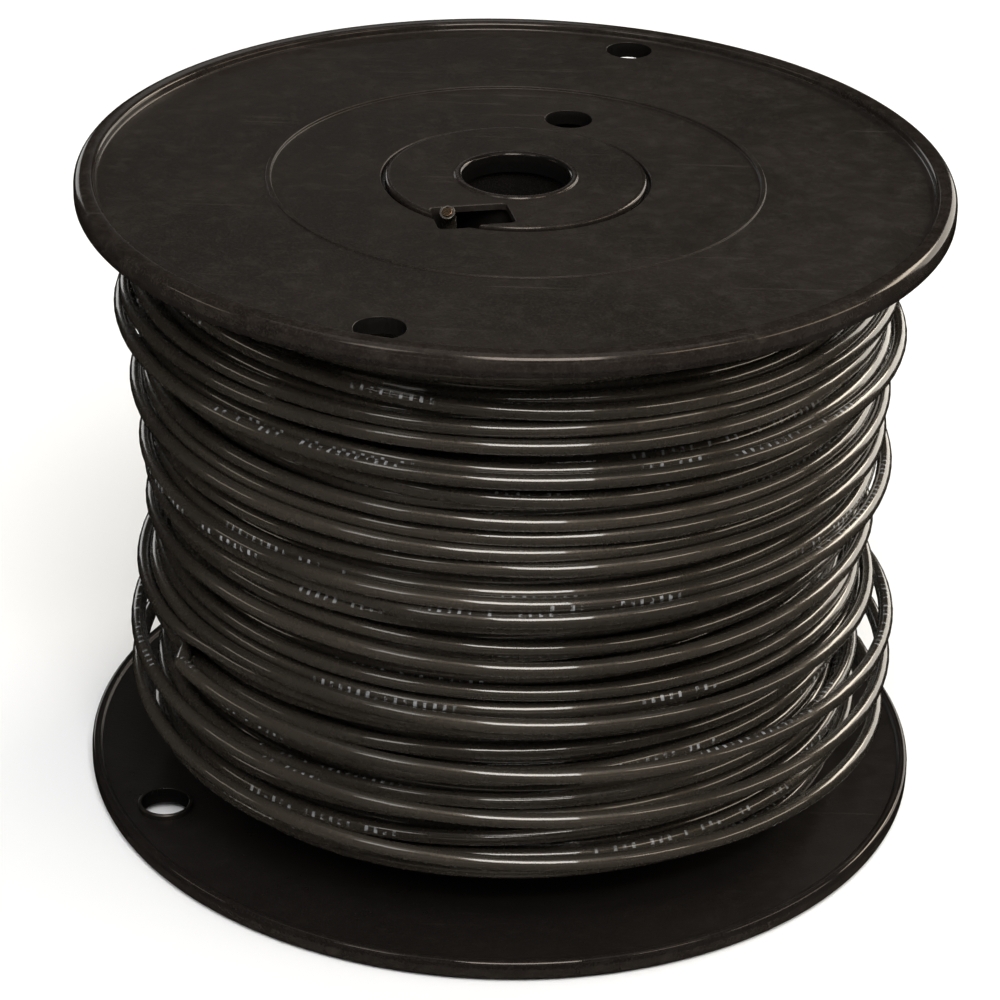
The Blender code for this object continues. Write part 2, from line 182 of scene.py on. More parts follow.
def plastic_material():
    """Warm black moulded polystyrene: cloudy satin surface, fine pebble, turned tool marks, scuffs."""
    material, tree, shader = new_material("reel_plastic_looks", 0.45, specular=0.33)
    shader.inputs["Specular Tint"].default_value = (1.0, 0.86, 0.74, 1.0)
    place = node(tree, "ShaderNodeTexCoord").outputs["Object"]
    across = node(tree, "ShaderNodeVectorMath", {0: place, 1: (1.0, 1.0, 0.0)}, operation="MULTIPLY")
    radius = node(tree, "ShaderNodeVectorMath", {0: across.outputs[0]}, operation="LENGTH").outputs[1]

    clouds = noise(tree, place, 38.0, 4.0, 0.6)
    handling = noise(tree, place, 260.0, 3.0, 0.65)
    pebble = noise(tree, place, 1500.0, 2.0, 0.6)
    rings = noise(tree, calc(tree, "MULTIPLY", radius, 1000.0), 2.2, 2.0, 0.5, "1D")

    def scratches(turn, seed):
        """Fine straight marks, all running one way, in patches."""
        stretch = node(tree, "ShaderNodeMapping", {"Vector": place, "Location": (seed, seed, seed),
                                                   "Rotation": (0.0, 0.0, turn),
                                                   "Scale": (16.0, 900.0, 300.0)}).outputs[0]
        lines = fade(tree, noise(tree, stretch, 1.0, 1.0), 0.66, 0.74)
        patch = node(tree, "ShaderNodeMapping", {"Vector": place, "Location": (seed, -seed, 0.0)})
        patches = fade(tree, noise(tree, patch.outputs[0], 46.0, 2.0), 0.55, 0.7)
        return calc(tree, "MULTIPLY", lines, patches)

    marks = calc(tree, "MAXIMUM", scratches(0.5, 3.1), calc(tree, "MAXIMUM", scratches(2.2, 7.7),
                                                            scratches(-0.35, 12.4)))
    height = node(tree, "ShaderNodeSeparateXYZ", {0: place}).outputs[2]
    from_middle = calc(tree, "ABSOLUTE", calc(tree, "SUBTRACT", height, HEIGHT / 2))
    # Masks: the outer side of a flange, its inner side, and its rim with its edge
    outside = fade(tree, from_middle, HEIGHT / 2 - 3.2 * MM, HEIGHT / 2 - 2.6 * MM)
    inside = calc(tree, "SUBTRACT", 1.0, outside)
    rim = calc(tree, "MULTIPLY", fade(tree, radius, FLANGE_R - 4.4 * MM, FLANGE_R - 3.9 * MM), outside)
    rim = calc(tree, "MAXIMUM", rim, fade(tree, radius, FLANGE_R - 1.2 * MM, FLANGE_R - 0.8 * MM))
    edge = calc(tree, "MULTIPLY", rim, fade(tree, noise(tree, place, 420.0, 3.0, 0.7), 0.44, 0.72))
    painted_hole_shade = hole_wall_shade(tree, place, radius, height)

    base = mix_colors(tree, fade(tree, clouds, 0.3, 0.7),
                      (0.0100, 0.0079, 0.0065), (0.0136, 0.0108, 0.0090))
    base = mix_colors(tree, calc(tree, "MULTIPLY", fade(tree, handling, 0.45, 0.8), 0.35), base,
                      (0.030, 0.026, 0.022))
    speckle = noise(tree, place, 2600.0, 1.0, 0.5)
    base = mix_colors(tree, calc(tree, "MULTIPLY", fade(tree, speckle, 0.45, 0.75), 0.45), base,
                      (0.036, 0.030, 0.025))
    base = mix_colors(tree, calc(tree, "MULTIPLY", marks, 0.12), base, (0.10, 0.085, 0.072))
    base = mix_colors(tree, calc(tree, "MULTIPLY", edge, 0.12), base, (0.075, 0.062, 0.050))
    # Painted shade: the flanges' inner faces, turned towards the winding, are darkened.
    base = mix_colors(tree, calc(tree, "MULTIPLY", inside, 0.6), base, (0.0058, 0.0052, 0.0052))
    # Painted shade: the walls of the bore and of the round holes are darkened almost to black.
    base = mix_colors(tree, calc(tree, "MULTIPLY", painted_hole_shade, 0.8), base, (0.003, 0.003, 0.003))
    tree.links.new(base, shader.inputs["Base Color"])

    rough = fade(tree, clouds, 0.3, 0.7, 0.39, 0.46)
    rough = calc(tree, "ADD", rough, calc(tree, "MULTIPLY", calc(tree, "SUBTRACT", handling, 0.5), 0.25))
    rough = calc(tree, "ADD", rough, calc(tree, "MULTIPLY", marks, 0.1), clamp=True)
    disc_edge = calc(tree, "ABSOLUTE", calc(tree, "SUBTRACT", radius, (DISC_R - 0.3) * MM))
    lips = calc(tree, "MAXIMUM", fade(tree, disc_edge, 0.7 * MM, 0.45 * MM),
                fade(tree, radius, 11.9 * MM, 11.6 * MM))
    polish = calc(tree, "ADD", calc(tree, "MULTIPLY", rim, 0.7), calc(tree, "MULTIPLY", lips, 0.6))
    polish = calc(tree, "ADD", polish, calc(tree, "MULTIPLY", inside, 0.25), clamp=True)
    rough = calc(tree, "MULTIPLY", rough, calc(tree, "SUBTRACT", 1.0, polish))
    tree.links.new(rough, shader.inputs["Roughness"])

    relief = calc(tree, "ADD", calc(tree, "MULTIPLY", pebble, 0.55), calc(tree, "MULTIPLY", handling, 0.6))
    relief = calc(tree, "ADD", relief, calc(tree, "MULTIPLY", rings, 0.06))
    relief = calc(tree, "SUBTRACT", relief, calc(tree, "MULTIPLY", marks, 0.2))
    relief = calc(tree, "MULTIPLY", relief, calc(tree, "MULTIPLY_ADD", rim, -0.7, 1.0))
    bump = node(tree, "ShaderNodeBump", {"Strength": 0.35, "Distance": 0.12 * MM, "Height": relief})
    tree.links.new(bump.outputs[0], shader.inputs["Normal"])
    return material


def jacket_material():
    """Clear-coated black jacket with a worn pale legend: plain ticks, no letters.

    The UV map runs along the wire in millimetres (u) and once around it from 0 to 1 (v).
    """
    material, tree, shader = new_material("wire_jacket_looks", 0.3, specular=0.4)
    shader.inputs["Specular Tint"].default_value = (1.0, 0.84, 0.66, 1.0)
    shader.inputs["Coat Weight"].default_value = 1.0
    shader.inputs["Coat Roughness"].default_value = 0.06
    shader.inputs["Coat IOR"].default_value = 1.5
    along, around, _ = node(tree, "ShaderNodeSeparateXYZ",
                            {0: node(tree, "ShaderNodeUVMap", uv_map="wire").outputs[0]}).outputs
    place = node(tree, "ShaderNodeTexCoord").outputs["Object"]

    cell_mm, gap, narrowest = 1.8, 0.12, 0.3
    cells = calc(tree, "DIVIDE", along, cell_mm)
    cell = calc(tree, "FLOOR", cells)
    inside = calc(tree, "FRACT", cells)
    pick = node(tree, "ShaderNodeTexWhiteNoise", {"W": cell}, noise_dimensions="1D").outputs[0]
    second = node(tree, "ShaderNodeTexWhiteNoise", {"W": calc(tree, "ADD", cell, 0.37)},
                  noise_dimensions="1D").outputs[0]
    width = calc(tree, "MULTIPLY_ADD", pick, 0.1, narrowest)
    tick = calc(tree, "MULTIPLY", calc(tree, "GREATER_THAN", inside, gap),
                calc(tree, "LESS_THAN", inside, calc(tree, "ADD", width, gap)))
    tick = calc(tree, "MULTIPLY", tick, calc(tree, "GREATER_THAN", second, 0.2))
    off_line = calc(tree, "ABSOLUTE", calc(tree, "SUBTRACT", around, 0.5))
    half_height = calc(tree, "MULTIPLY_ADD", pick, 0.01, 0.055)
    line = calc(tree, "LESS_THAN", off_line, half_height)
    words = fade(tree, noise(tree, calc(tree, "MULTIPLY", along, 0.02), 1.0, 0.0, 0.5, "1D"), 0.53, 0.56)
    worn = fade(tree, noise(tree, place, 900.0, 2.0, 0.6), 0.38, 0.6)
    legend = calc(tree, "MULTIPLY", calc(tree, "MULTIPLY", tick, line), calc(tree, "MULTIPLY", words, worn))

    dust = fade(tree, noise(tree, place, 520.0, 4.0, 0.7), 0.5, 0.78)
    streak = noise(tree, calc(tree, "MULTIPLY", along, 0.011), 1.0, 2.0, 0.5, "1D")
    base = mix_colors(tree, fade(tree, streak, 0.35, 0.65),
                      (0.0195, 0.0165, 0.0132), (0.0312, 0.0262, 0.0205))
    base = mix_colors(tree, calc(tree, "MULTIPLY", dust, 0.12), base, (0.045, 0.038, 0.028))
    base = mix_colors(tree, calc(tree, "MULTIPLY", legend, 0.75), base, (0.34, 0.35, 0.36))
    tree.links.new(base, shader.inputs["Base Color"])
    rough = calc(tree, "MULTIPLY_ADD", dust, 0.18, 0.26)
    tree.links.new(rough, shader.inputs["Roughness"])

    ripple = noise(tree, calc(tree, "MULTIPLY", along, 0.12), 1.0, 2.0, 0.5, "1D")
    relief = calc(tree, "MULTIPLY", ripple, 0.35)
    bump = node(tree, "ShaderNodeBump", {"Strength": 0.25, "Distance": 0.2 * MM, "Height": relief})
    tree.links.new(bump.outputs[0], shader.inputs["Normal"])
    return material


def copper_material():
    """Cut copper, dulled in patches."""
    material, tree, shader = new_material("copper_looks", 0.3, metallic=1.0)
    place = node(tree, "ShaderNodeTexCoord").outputs["Object"]
    tarnish = noise(tree, place, 1800.0, 3.0, 0.6)
    base = mix_colors(tree, fade(tree, tarnish, 0.35, 0.7), (0.24, 0.15, 0.09), (0.09, 0.06, 0.04))
    tree.links.new(base, shader.inputs["Base Color"])
    tree.links.new(fade(tree, tarnish, 0.3, 0.7, 0.2, 0.42), shader.inputs["Roughness"])
    bump = node(tree, "ShaderNodeBump", {"Strength": 0.3, "Distance": 0.03 * MM,
                                         "Height": noise(tree, place, 6000.0)})
    tree.links.new(bump.outputs[0], shader.inputs["Normal"])
    return material


def floor_material():
    """Pale matt studio paper."""
    material, tree, shader = new_material("studio_paper", 0.9, specular=0.2)
    place = node(tree, "ShaderNodeTexCoord").outputs["Object"]
    base = mix_colors(tree, noise(tree, place, 3.0), (0.93, 0.93, 0.93), (0.96, 0.96, 0.96))
    tree.links.new(base, shader.inputs["Base Color"])
    return material


# ---------------------------------------------------------------- camera, light and floor

# Name, azimuth, elevation, distance in metres, size in metres, brightness, colour: set one by one to the
# photo
WHITE, WARM = (1.0, 1.0, 1.0), (1.0, 0.91, 0.76)
SOFTBOXES = (
    ("key", 9.0, 50.0, 1.3, (0.55, 0.60), 11.0, WHITE),
    ("side", -38.0, 46.0, 1.4, (0.30, 0.40), 4.0, WHITE),
    ("right_high", 52.0, 42.0, 1.6, (0.45, 0.22), 6.0, WARM),
    ("right", 82.0, 26.0, 1.6, (0.90, 0.22), 5.0, WARM),
    ("left", -85.0, 24.0, 1.6, (0.50, 0.16), 3.0, (1.0, 0.93, 0.80)),
    ("edge_right", 138.0, 13.0, 1.7, (1.1, 0.8), 2.8, (1.0, 0.95, 0.86)),
    ("edge_left", -150.0, 10.0, 1.7, (0.5, 0.5), 1.6, WHITE),
    ("rim_right", 131.0, 32.0, 1.7, (0.9, 0.28), 10.0, (1.0, 0.92, 0.78)),
    ("front_low", 0.0, 7.0, 2.0, (3.0, 0.12), 1.2, (1.0, 0.95, 0.87)),
    ("overhead", 0.0, 88.0, 2.0, (2.0, 2.0), 0.55, WHITE),
    ("back", -176.0, 21.0, 2.2, (0.40, 0.16), 0.5, WHITE),
)


def build_camera():
    """Looks at the middle of the reel; the roll turns the picture, and the shift sets it in the frame."""
    forward = Vector((0.0, math.cos(CAMERA_ELEVATION), -math.sin(CAMERA_ELEVATION)))
    right = Vector((1.0, 0.0, 0.0))
    up = right.cross(forward)
    c, s = math.cos(CAMERA_ROLL), math.sin(CAMERA_ROLL)
    axes = Matrix((c * right + s * up, c * up - s * right, -forward)).transposed().to_4x4()
    camera = bpy.data.objects.new("camera", bpy.data.cameras.new("camera"))
    middle = Vector((0.0, 0.0, HEIGHT / 2))
    camera.matrix_world = Matrix.Translation(middle - forward * CAMERA_DISTANCE) @ axes
    camera.data.lens = CAMERA_LENS
    camera.data.shift_x, camera.data.shift_y = CAMERA_SHIFT
    camera.data.clip_start, camera.data.clip_end = 0.01, 50.0
    bpy.context.scene.collection.objects.link(camera)
    bpy.context.scene.camera = camera


def softbox(name, azimuth, elevation, distance, size, brightness, color):
    """An area light aimed at the reel.  Azimuth 0 is in front of it and 90 to its right."""
    a, e = math.radians(azimuth), math.radians(elevation)
    out = Vector((math.sin(a) * math.cos(e), -math.cos(a) * math.cos(e), math.sin(e)))
    light = bpy.data.lights.new(name, "AREA")
    light.shape = "RECTANGLE"
    light.size, light.size_y = size
    light.energy = brightness * math.pi * size[0] * size[1]
    light.color = color
    lamp = bpy.data.objects.new(name, light)
    lamp.location = Vector((0.0, 0.0, HEIGHT / 2)) + out * distance
    lamp.rotation_mode = "QUATERNION"
    lamp.rotation_quaternion = out.to_track_quat("Z", "Y")
    bpy.context.scene.collection.objects.link(lamp)


def build_studio():
    """Pale paper and dim room light, which don't show in the gloss, and softboxes, which do."""
    world = bpy.data.worlds.new("studio")
    world.use_nodes = True
    background = world.node_tree.nodes["Background"]
    background.inputs["Color"].default_value = (1.0, 1.0, 1.0, 1.0)
    background.inputs["Strength"].default_value = 0.45
    world.cycles_visibility.glossy = False
    bpy.context.scene.world = world
    bpy.context.scene.view_settings.view_transform = "Standard"
    for light in SOFTBOXES:
        softbox(*light)

    bpy.ops.mesh.primitive_grid_add(x_subdivisions=8, y_subdivisions=8, size=12.0)
    floor = bpy.context.object
    floor.name = "studio_floor"
    floor.data.materials.append(floor_material())
    floor.visible_glossy = False


# ---------------------------------------------------------------- mesh helpers

SQUARE = ((1, 1), (-1, 1), (-1, -1), (1, -1))


def polar(radius, degrees, z=0.0):
    angle = math.radians(degrees)
    return Vector((radius * math.cos(angle), radius * math.sin(angle), z))


def add_object(name, mesh, material):
    obj = bpy.data.objects.new(name, mesh)
    bpy.context.scene.collection.objects.link(obj)
    if material:
        mesh.materials.append(material)
    return obj


def mesh_from(name, points, faces):
    mesh = bpy.data.meshes.new(name)
    mesh.from_pydata([tuple(p) for p in points], [], [tuple(f) for f in faces])
    mesh.update()
    return mesh


def rounded(corners, arc_step=math.radians(18)):
    """Points of a closed outline.  Each corner is (x, y, radius), and its radius is drawn as an arc."""
    result = []
    for index, (x, y, radius) in enumerate(corners):
        here = Vector((x, y))
        before = Vector(corners[index - 1][:2]) - here
        after = Vector(corners[(index + 1) % len(corners)][:2]) - here
        opening = before.angle(after)
        reach = min(radius / math.tan(opening / 2), 0.49 * before.length, 0.49 * after.length)
        if reach < 1e-7:
            result.append(here)
            continue
        before.normalize()
        after.normalize()
        middle = here + (before + after).normalized() * reach / math.cos(opening / 2)
        start = here + before * reach - middle
        end = here + after * reach - middle
        turn = start.angle_signed(end)
        steps = max(1, math.ceil(abs(turn) / arc_step))
        for step in range(steps + 1):
            result.append(middle + Matrix.Rotation(-turn * step / steps, 2) @ start)
    return result


def turned(name, outline, material, segments=240):
    """A closed turned piece, from an outline of (radius, height) points."""
    count = len(outline)
    angles = [2 * math.pi * i / segments for i in range(segments)]
    points = [(r * math.cos(a), r * math.sin(a), z) for a in angles for r, z in outline]
    faces = [(i * count + j, i * count + (j + 1) % count,
              (i + 1) % segments * count + (j + 1) % count, (i + 1) % segments * count + j)
             for i in range(segments) for j in range(count)]
    obj = add_object(name, mesh_from(name, points, faces), material)
    face_outwards(obj)
    return obj


def face_outwards(obj):
    bm = bmesh.new()
    bm.from_mesh(obj.data)
    bmesh.ops.recalc_face_normals(bm, faces=bm.faces)
    bm.to_mesh(obj.data)
    bm.free()


def prism(name, rings):
    """A closed solid through rings of points, all of one length, with a cap at each end."""
    count = len(rings[0])
    points = [p for ring in rings for p in ring]
    faces = [(k * count + i, k * count + (i + 1) % count,
              (k + 1) * count + (i + 1) % count, (k + 1) * count + i)
             for k in range(len(rings) - 1) for i in range(count)]
    faces.append(tuple(reversed(range(count))))
    faces.append(tuple(range((len(rings) - 1) * count, len(rings) * count)))
    obj = add_object(name, mesh_from(name, points, faces), None)
    face_outwards(obj)
    return obj


def flared_levels(faces, flare, overrun):
    """(height, outset) pairs of a cutter whose ends open out in a quarter round at the two faces."""
    low, high = faces
    steps = 4
    top = [(high - flare + flare * math.sin(math.pi / 2 * k / steps),
            flare * (1 - math.cos(math.pi / 2 * k / steps))) for k in range(steps + 1)]
    bottom = [(low + high - z, out) for z, out in reversed(top)]
    return [(low - overrun, flare)] + bottom + top + [(high + overrun, flare)]


def round_cutter(name, centre, radius, faces, flare, segments=56):
    rings = [[(centre.x + (radius + out) * math.cos(2 * math.pi * i / segments),
               centre.y + (radius + out) * math.sin(2 * math.pi * i / segments), z)
              for i in range(segments)] for z, out in flared_levels(faces, flare, 3 * MM)]
    return prism(name, rings)


def slot_cutter(name, faces, flare, depth):
    """The slot's cutter: a rectangle with round corners, flared at the top face only."""
    length, width, corner, turn = 14.4 * MM, 9.0 * MM, 1.0 * MM, math.radians(-13.0)
    centre = Vector((-7.7, -19.4)) * MM
    rings = []
    for z, out in flared_levels(faces, flare, 3 * MM):
        if z < faces[1] - flare - 1e-6:
            continue
        half_x, half_y = length / 2 + out, width / 2 + out
        corners = [(x * half_x, y * half_y, corner + out) for x, y in SQUARE]
        ring = [centre + Matrix.Rotation(-turn, 2) @ p for p in rounded(corners, math.radians(22.5))]
        rings.append([(p.x, p.y, z) for p in ring])
    rings.insert(0, [(x, y, faces[1] - depth) for x, y, _ in rings[0]])
    return prism(name, rings)


def radial_box(name, size, outer_r, degrees, height):
    """A box whose outer face is at outer_r, pointing along the radius."""
    middle = polar(outer_r - size[0] / 2, degrees, height)
    turn = Matrix.Rotation(math.radians(degrees), 4, "Z")
    place = Matrix.Translation(middle) @ turn
    rings = [[place @ Vector((x * size[0] / 2, y * size[1] / 2, z * size[2] / 2)) for x, y in SQUARE]
             for z in (-1, 1)]
    return prism(name, rings)


def carve(obj, steps):
    """Applies (operation, tool) Boolean steps one after another, and removes the tools."""
    for operation, tool in steps:
        modifier = obj.modifiers.new(tool.name, "BOOLEAN")
        modifier.operation = operation
        modifier.object = tool
        modifier.solver = "EXACT"
    settle(obj)
    for _, tool in steps:
        bpy.data.objects.remove(tool, do_unlink=True)


def settle(obj):
    """Replaces the mesh by what the modifiers make of it."""
    bpy.context.view_layer.update()
    graph = bpy.context.evaluated_depsgraph_get()
    mesh = bpy.data.meshes.new_from_object(obj.evaluated_get(graph), preserve_all_data_layers=True,
                                           depsgraph=graph)
    obj.modifiers.clear()
    old, obj.data = obj.data, mesh
    bpy.data.meshes.remove(old)


def finish_shading(obj, degrees=40.0):
    """Smooth shading up to an angle, with flat faces kept flat by normals weighted by area."""
    obj.data.shade_smooth()
    obj.data.set_sharp_from_angle(angle=math.radians(degrees))
    weighted = obj.modifiers.new("weighted_normals", "WEIGHTED_NORMAL")
    weighted.keep_sharp = True
    weighted.weight = 80
    settle(obj)


def turn_over(obj):
    """Turns a finished piece of the upper end over to the lower end."""
    obj.data.transform(OVER)


def hand_in(obj, slot, *nodes):
    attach(obj, "root")
    if nodes:
        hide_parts(*nodes)


# ---------------------------------------------------------------- the reel's own pieces

def top(depth_mm):
    """Height of a point of the upper end this many millimetres below the rim's plane."""
    return HEIGHT - depth_mm * MM


def outline_at_top(corners):
    """An outline from (radius, depth, corner radius), all in millimetres."""
    return rounded([(r * MM, top(depth), radius * MM) for r, depth, radius in corners])


def build_flange(name, material):
    outer_r = 82.55
    rim = [(outer_r, 0.0, 1.7), (outer_r, RIM_DEPTH, 1.0), (80.9, RIM_DEPTH, 0.7), (80.5, INNER_DEPTH, 0.3)]
    inner_face = [(27.0, INNER_DEPTH, 0.5), (27.0, 6.3, 0.3), (25.7, 6.3, 0.2), (25.7, 4.6, 0.0),
                  (LEDGE_R, 4.6, 0.2)]
    outer_face = [(LEDGE_R, LEDGE_DEPTH, 0.2), (RECESS_R, LEDGE_DEPTH, 0.15),
                  (RECESS_R, NEAR_HUB_DEPTH, 0.4), (STEP_R, NEAR_HUB_DEPTH, 0.25),
                  (STEP_R, STEP_DEPTH, 0.25), (STEP_R + STEP_WIDTH, STEP_DEPTH, 0.25),
                  (STEP_R + STEP_WIDTH, PLATE_DEPTH, 0.2),
                  (RIM_IN_R, PLATE_DEPTH, 0.6), (RIM_IN_R, 0.0, 1.3)]
    flange = turned(name, outline_at_top(rim + inner_face + outer_face), material)
    near_hub = (top(INNER_DEPTH), top(NEAR_HUB_DEPTH))
    collar_end = 5.0
    steps = []
    for hole_name, place, depth in (("tie_0", polar(TIE_HOLE_AT_R, HOLE_LINE_DEG), PLATE_DEPTH),
                                    ("tie_1", polar(TIE_HOLE_AT_R, HOLE_LINE_DEG + 180), PLATE_DEPTH),
                                    ("start", polar(START_HOLE_AT_R, HOLE_LINE_DEG), NEAR_HUB_DEPTH)):
        levels = ((top(collar_end), 0.5 * MM), (top(4.8), COLLAR_WIDTH), (top(3.0), COLLAR_WIDTH))
        collar = prism("tool_collar_" + hole_name,
                       [[place + polar(HOLE_R + wider, 360 * k / 48, height) for k in range(48)]
                        for height, wider in levels])
        hole = round_cutter("tool_" + hole_name, place, HOLE_R, (top(collar_end), top(depth)), 0.15 * MM)
        steps += [("UNION", collar), ("DIFFERENCE", hole)]
    steps.append(("DIFFERENCE", slot_cutter("tool_slot", near_hub, 0.25 * MM, 13 * MM)))
    for index in range(2):
        key_slot = radial_box(f"tool_key_{index}", (3.6 * MM, 5.6 * MM, 3.6 * MM), 24.2 * MM,
                              SLOT_LINE_DEG + 90 + 180 * index, top(3.875))
        steps.append(("DIFFERENCE", key_slot))
    carve(flange, steps)
    finish_shading(flange)
    return flange


def build_plug(name, material):
    disc = [(DISC_R, DISC_DEPTH, 0.6), (DISC_R, DISC_BACK, 0.2)]
    spigot = [(22.5, DISC_BACK, 0.15), (22.5, 12.0, 0.4), (20.7, 12.0, 0.4), (20.7, DISC_BACK, 0.4)]
    boss = [(12.6, DISC_BACK, 0.4), (12.6, 14.0, 0.4), (11.35, 14.0, 0.3), (11.35, 5.6, 0.2),
            (BORE_R, 5.2, 0.25)]
    lip = [(BORE_R, 1.2, 0.75), (11.5, 1.2, 0.3), (11.7, DISC_DEPTH, 0.2)]
    plug = turned(name, outline_at_top(disc + spigot + boss + lip), material, 180)
    steps = []
    for kind, count, first_deg, size, outer_r, depth in (
            ("rib", 4, 45, (9.0, 1.6, 7.5), 21.2, 6.25),
            ("lug", 3, 60, (3.0, 7.0, 2.5), 24.0, LUG_DEPTH),
            ("key", 2, 90, (3.0, 5.0, 1.6), 23.9, 3.45)):
        for index in range(count):
            degrees = SLOT_LINE_DEG + first_deg + 360 / count * index
            box = radial_box(f"tool_{kind}_{index}", [side * MM for side in size], outer_r * MM, degrees,
                             top(depth))
            steps.append(("UNION", box))
    faces = (top(DISC_BACK), top(DISC_DEPTH))
    steps.append(("DIFFERENCE", slot_cutter("tool_slot", faces, 0.3 * MM, 13 * MM)))
    carve(plug, steps)
    finish_shading(plug)
    return plug


def build_barrel(material):
    low, high = BARREL_LOW.z, BARREL_HIGH.z
    inner = BARREL_R - 2.6 * MM
    outline = rounded([(BARREL_R, high, 0.4 * MM), (BARREL_R, low, 0.4 * MM), (inner, low, 0.4 * MM),
                       (inner, high, 0.4 * MM)])
    barrel = turned("barrel_tube", outline, material, 128)
    steps = []
    for index in range(3):
        upper = SLOT_LINE_DEG + 60 + 120 * index
        for degrees, height in ((upper, top(LUG_DEPTH)), (LOWER_TURN_DEG - upper, LUG_DEPTH * MM)):
            window = radial_box(f"tool_window_{len(steps)}", (6.0 * MM, 7.6 * MM, 3.1 * MM),
                                BARREL_R + 1 * MM, degrees, height)
            steps.append(("DIFFERENCE", window))
    outwards = polar(1.0, PORT_DEG)
    side, up = Vector((-outwards.y, outwards.x, 0.0)), Vector((0, 0, 1))
    port_r = 3.2 * MM
    rings = [[polar(reach, PORT_DEG, PORT_Z) + port_r * (side * math.cos(a) + up * math.sin(a))
              for a in np.linspace(0, 2 * math.pi, 33)[:-1]] for reach in (20 * MM, 28 * MM)]
    steps.append(("DIFFERENCE", prism("tool_port", rings)))
    carve(barrel, steps)
    finish_shading(barrel)
    return barrel


# ---------------------------------------------------------------- the wound wire

# The distances, the pitch, the shape and the seed were picked by trial, so that the winding's outline
# and length come near the photo and the CAD model.  They aren't measured from a real winding.
SAMPLES = 96                            # points laid per turn
CELL = 0.2                              # height step of the winding's table of radii, in mm
CONTACT_R = (56.0, 66.0)                # distance between pressed neighbours' middles, in mm,
CONTACT = (2.88, 2.92)                  # at these radii: the wire is pressed tighter inside
PITCH = 3.62                            # advance per turn, in mm, where the thickness is as asked
HEIGHTS = np.arange(2.0, 125.0, CELL)
FIRST_R = BARREL_R / MM + 1.5
# Lowest and highest place of a turn, in mm, at these radii: the winding narrows outwards
LIMIT_R = (27.0, 40.0, 62.0, 70.0, 76.0)
LIMIT_LOW = (8.3, 8.7, 11.2, 16.0, 19.0)
LIMIT_HIGH = (119.4, 118.8, 118.8, 118.6, 118.2)
# Outer radius that the winding ends at, in mm, at these heights
SHAPE_Z = (10, 22, 30, 38, 46, 57, 66, 76, 86, 97, 108, 116)
SHAPE_R = (71.5, 71.6, 71.0, 69.8, 68.2, 67.2, 67.6, 69.0, 70.2, 71.0, 71.8, 71.5)
LEVELLING = 0.22                        # how much faster the traverse runs over a place 1 mm too high
PITCH_RANGE = (0.7, 1.7)                # limits of that change
LOOSE_FROM_R, LOOSE_OVER = 65.0, 3.0    # the traverse gets loose over this many mm from this radius on
CALM = 0.15                             # how loose it is inside
SPEED_PULL, SPEED_KICK = 0.012, 0.045   # random walk of the traverse's speed, per point laid
WANDER_PULL, WANDER_KICK = 0.045, 0.20  # and of its place, in mm
SLOWEST = 0.15                          # least share of its usual speed
OVERSHOOT = 0.3                         # past the lowest and highest place, in mm
GROOVE_REACH = 1.1                      # how far a turn may slip sideways into a groove, in mm
GROOVE_STEP = 0.25                      # and how far in one step, at a slope of 1
# The loose stretch before the last turns: random walks of its speed, place and slack, per point laid
DRIFT_KEEP = (0.985, 0.965, 0.96)
DRIFT_KICK = (0.05, 0.36, 0.34)
SLACK_SCALE, SLACK_FROM = 1.5, 0.7
SEED = 5
# Pieces of the wire from the barrel outwards: name, samples from ring to ring, sides
CORDS = (("wire_inner", 6, 6), ("wire_middle", 4, 8), ("wire_outer_1", 1, 12), ("wire_outer_2", 1, 12),
         ("wire_last_turns_looks", 1, 16))
CORD_ENDS = (58.0, 108.0, 130.0)        # metres of wire where the first pieces end

# Last turns, over the winding, as in the CAD model
LAST_TURNS = 2.45
LAST_R, LAST_SHIFT, LAST_TOP, LAST_BOTTOM = 74.2, 1.6, 41.0, 18.0


def bell(half_width, spread):
    steps = np.arange(-half_width, half_width + 1)
    weights = np.exp(-0.5 * (steps / spread) ** 2)
    return weights / weights.sum()


